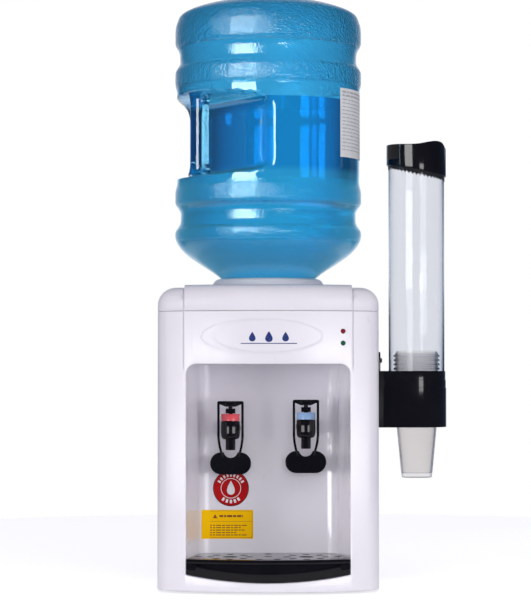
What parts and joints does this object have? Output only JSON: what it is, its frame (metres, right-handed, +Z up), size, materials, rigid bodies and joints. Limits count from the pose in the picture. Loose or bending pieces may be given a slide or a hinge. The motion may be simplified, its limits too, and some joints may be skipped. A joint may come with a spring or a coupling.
{
  "type": "countertop water dispenser",
  "caption": "Countertop hot and cold water dispenser with a water bottle on top, push-lever taps over a drip tray and a cup tube on its side.",
  "frame": {"origin": "centre of the bounding box, on the surface that the feet stand on", "axes": "+Z up, -Y out of the front with the taps, +X towards the side with the cup tube"},
  "size_m": [0.4102, 0.3224, 0.843],
  "materials": {
    "white_shell": "gloss",
    "black_gloss": "gloss",
    "rubber": "matte",
    "bottle_blue": "gloss",
    "water": "gloss",
    "clear_tube": "gloss",
    "cup_plastic": "gloss",
    "hot_red": "gloss",
    "cold_blue": "gloss",
    "lamp_red": "gloss",
    "lamp_green": "gloss",
    "steel": "satin",
    "aluminium": "satin",
    "foam": "matte",
    "circuit_board": "satin",
    "silicone": "satin",
    "ceramic": "satin"
  },
  "bodies": {
    "cabinet": {"front_panel": "white_shell", "top_cover": "white_shell", "left_side_panel": "white_shell", "right_side_panel": "white_shell", "rear_panel": "white_shell", "base_pan": "white_shell", "foot_front_left": "rubber", "foot_front_right": "rubber", "foot_rear_left": "rubber", "foot_rear_right": "rubber", "heating_lamp": "lamp_red", "cooling_lamp": "lamp_green", "led_board": "circuit_board", "power_inlet": "black_gloss", "heating_switch_housing": "black_gloss", "cooling_switch_housing": "black_gloss", "power_board": "circuit_board", "bottle_seat": "white_shell", "reservoir_bowl": "white_shell", "cold_tank": "steel", "cold_tank_foam": "foam", "hot_tank": "steel", "heater_band": "steel", "thermostat": "black_gloss", "cold_feed_tube": "silicone", "hot_feed_tube": "silicone", "cooling_module": "ceramic", "heat_sink": "aluminium", "fan_frame": "black_gloss", "drain_pipe": "silicone", "drain_socket": "white_shell", "hot_tap_body": "black_gloss", "hot_tap_nut": "white_shell", "hot_colour_ring": "hot_red", "cold_tap_body": "black_gloss", "cold_tap_nut": "white_shell", "cold_colour_ring": "cold_blue", "cup_bracket": "black_gloss", "bracket_screw_front": "steel", "bracket_screw_rear": "steel", "cup_ring": "rubber"},
    "bottle": {"bottle_shell": "bottle_blue", "bottle_water": "water"},
    "hot_valve": {"hot_valve_stem": "black_gloss"},
    "cold_valve": {"cold_valve_stem": "black_gloss"},
    "hot_lever": {"hot_lever": "black_gloss"},
    "cold_lever": {"cold_lever": "black_gloss"},
    "tray": {"drip_tray": "black_gloss"},
    "grille": {"drip_grille": "black_gloss"},
    "fan": {"fan_rotor": "black_gloss"},
    "heating_rocker": {"heating_switch_rocker": "black_gloss"},
    "cooling_rocker": {"cooling_switch_rocker": "black_gloss"},
    "plug": {"drain_plug": "black_gloss"},
    "tube": {"cup_tube": "clear_tube"},
    "lid": {"cup_lid": "black_gloss"},
    "cup": {"lowest_cup": "cup_plastic"},
    "stack": {"cup_stack": "cup_plastic"}
  },
  "joints": [
    {"name": "hot_valve_lift", "type": "slide", "parent": "cabinet", "child": "hot_valve", "axis": [0, 0, 1], "range_m": [0, 0.0035]},
    {"name": "hot_lever_press", "type": "hinge", "parent": "hot_valve", "child": "hot_lever", "pos_m": [-0.1036, -0.06175, 0.26], "axis": [1, 0, 0], "range_deg": [0, 12], "stiffness_Nm_per_rad": 0.4, "springref_deg": -8.59},
    {"name": "cold_valve_lift", "type": "slide", "parent": "cabinet", "child": "cold_valve", "axis": [0, 0, 1], "range_m": [0, 0.0035]},
    {"name": "cold_lever_press", "type": "hinge", "parent": "cold_valve", "child": "cold_lever", "pos_m": [0.0034, -0.06175, 0.262], "axis": [1, 0, 0], "range_deg": [0, 12], "stiffness_Nm_per_rad": 0.4, "springref_deg": -8.59},
    {"name": "tray_slide", "type": "slide", "parent": "cabinet", "child": "tray", "axis": [0, -1, 0], "range_m": [0, 0.12]},
    {"name": "grille_lift", "type": "slide", "parent": "tray", "child": "grille", "axis": [0, 0, 1], "range_m": [0, 0.09]},
    {"name": "bottle_lift", "type": "slide", "parent": "cabinet", "child": "bottle", "axis": [0, 0, 1], "range_m": [0, 0.1]},
    {"name": "fan_spin", "type": "hinge", "parent": "cabinet", "child": "fan", "pos_m": [0.0034, 0.11995, 0.255], "axis": [0, 1, 0], "continuous": true},
    {"name": "heating_rocker_tilt", "type": "hinge", "parent": "cabinet", "child": "heating_rocker", "pos_m": [-0.1601, 0.14725, 0.108], "axis": [-1, 0, 0], "range_deg": [0, 14]},
    {"name": "cooling_rocker_tilt", "type": "hinge", "parent": "cabinet", "child": "cooling_rocker", "pos_m": [-0.1301, 0.14725, 0.108], "axis": [-1, 0, 0], "range_deg": [0, 14]},
    {"name": "plug_pull", "type": "slide", "parent": "cabinet", "child": "plug", "axis": [0, 1, 0], "range_m": [0, 0.03]},
    {"name": "tube_lift", "type": "slide", "parent": "cabinet", "child": "tube", "axis": [0, 0, 1], "range_m": [0, 0.05]},
    {"name": "lid_lift", "type": "slide", "parent": "tube", "child": "lid", "axis": [0, 0, 1], "range_m": [0, 0.08]},
    {"name": "cup_pull", "type": "slide", "parent": "cabinet", "child": "cup", "axis": [0, 0, -1], "range_m": [0, 0.11]},
    {"name": "stack_lift", "type": "slide", "parent": "cabinet", "child": "stack", "axis": [0, 0, 1], "range_m": [0, 0.2]}
  ],
  "couplings": [
    {"joint": "hot_valve_lift", "follows": "hot_lever_press", "m_per_rad": 0.01432},
    {"joint": "cold_valve_lift", "follows": "cold_lever_press", "m_per_rad": 0.01432}
  ]
}
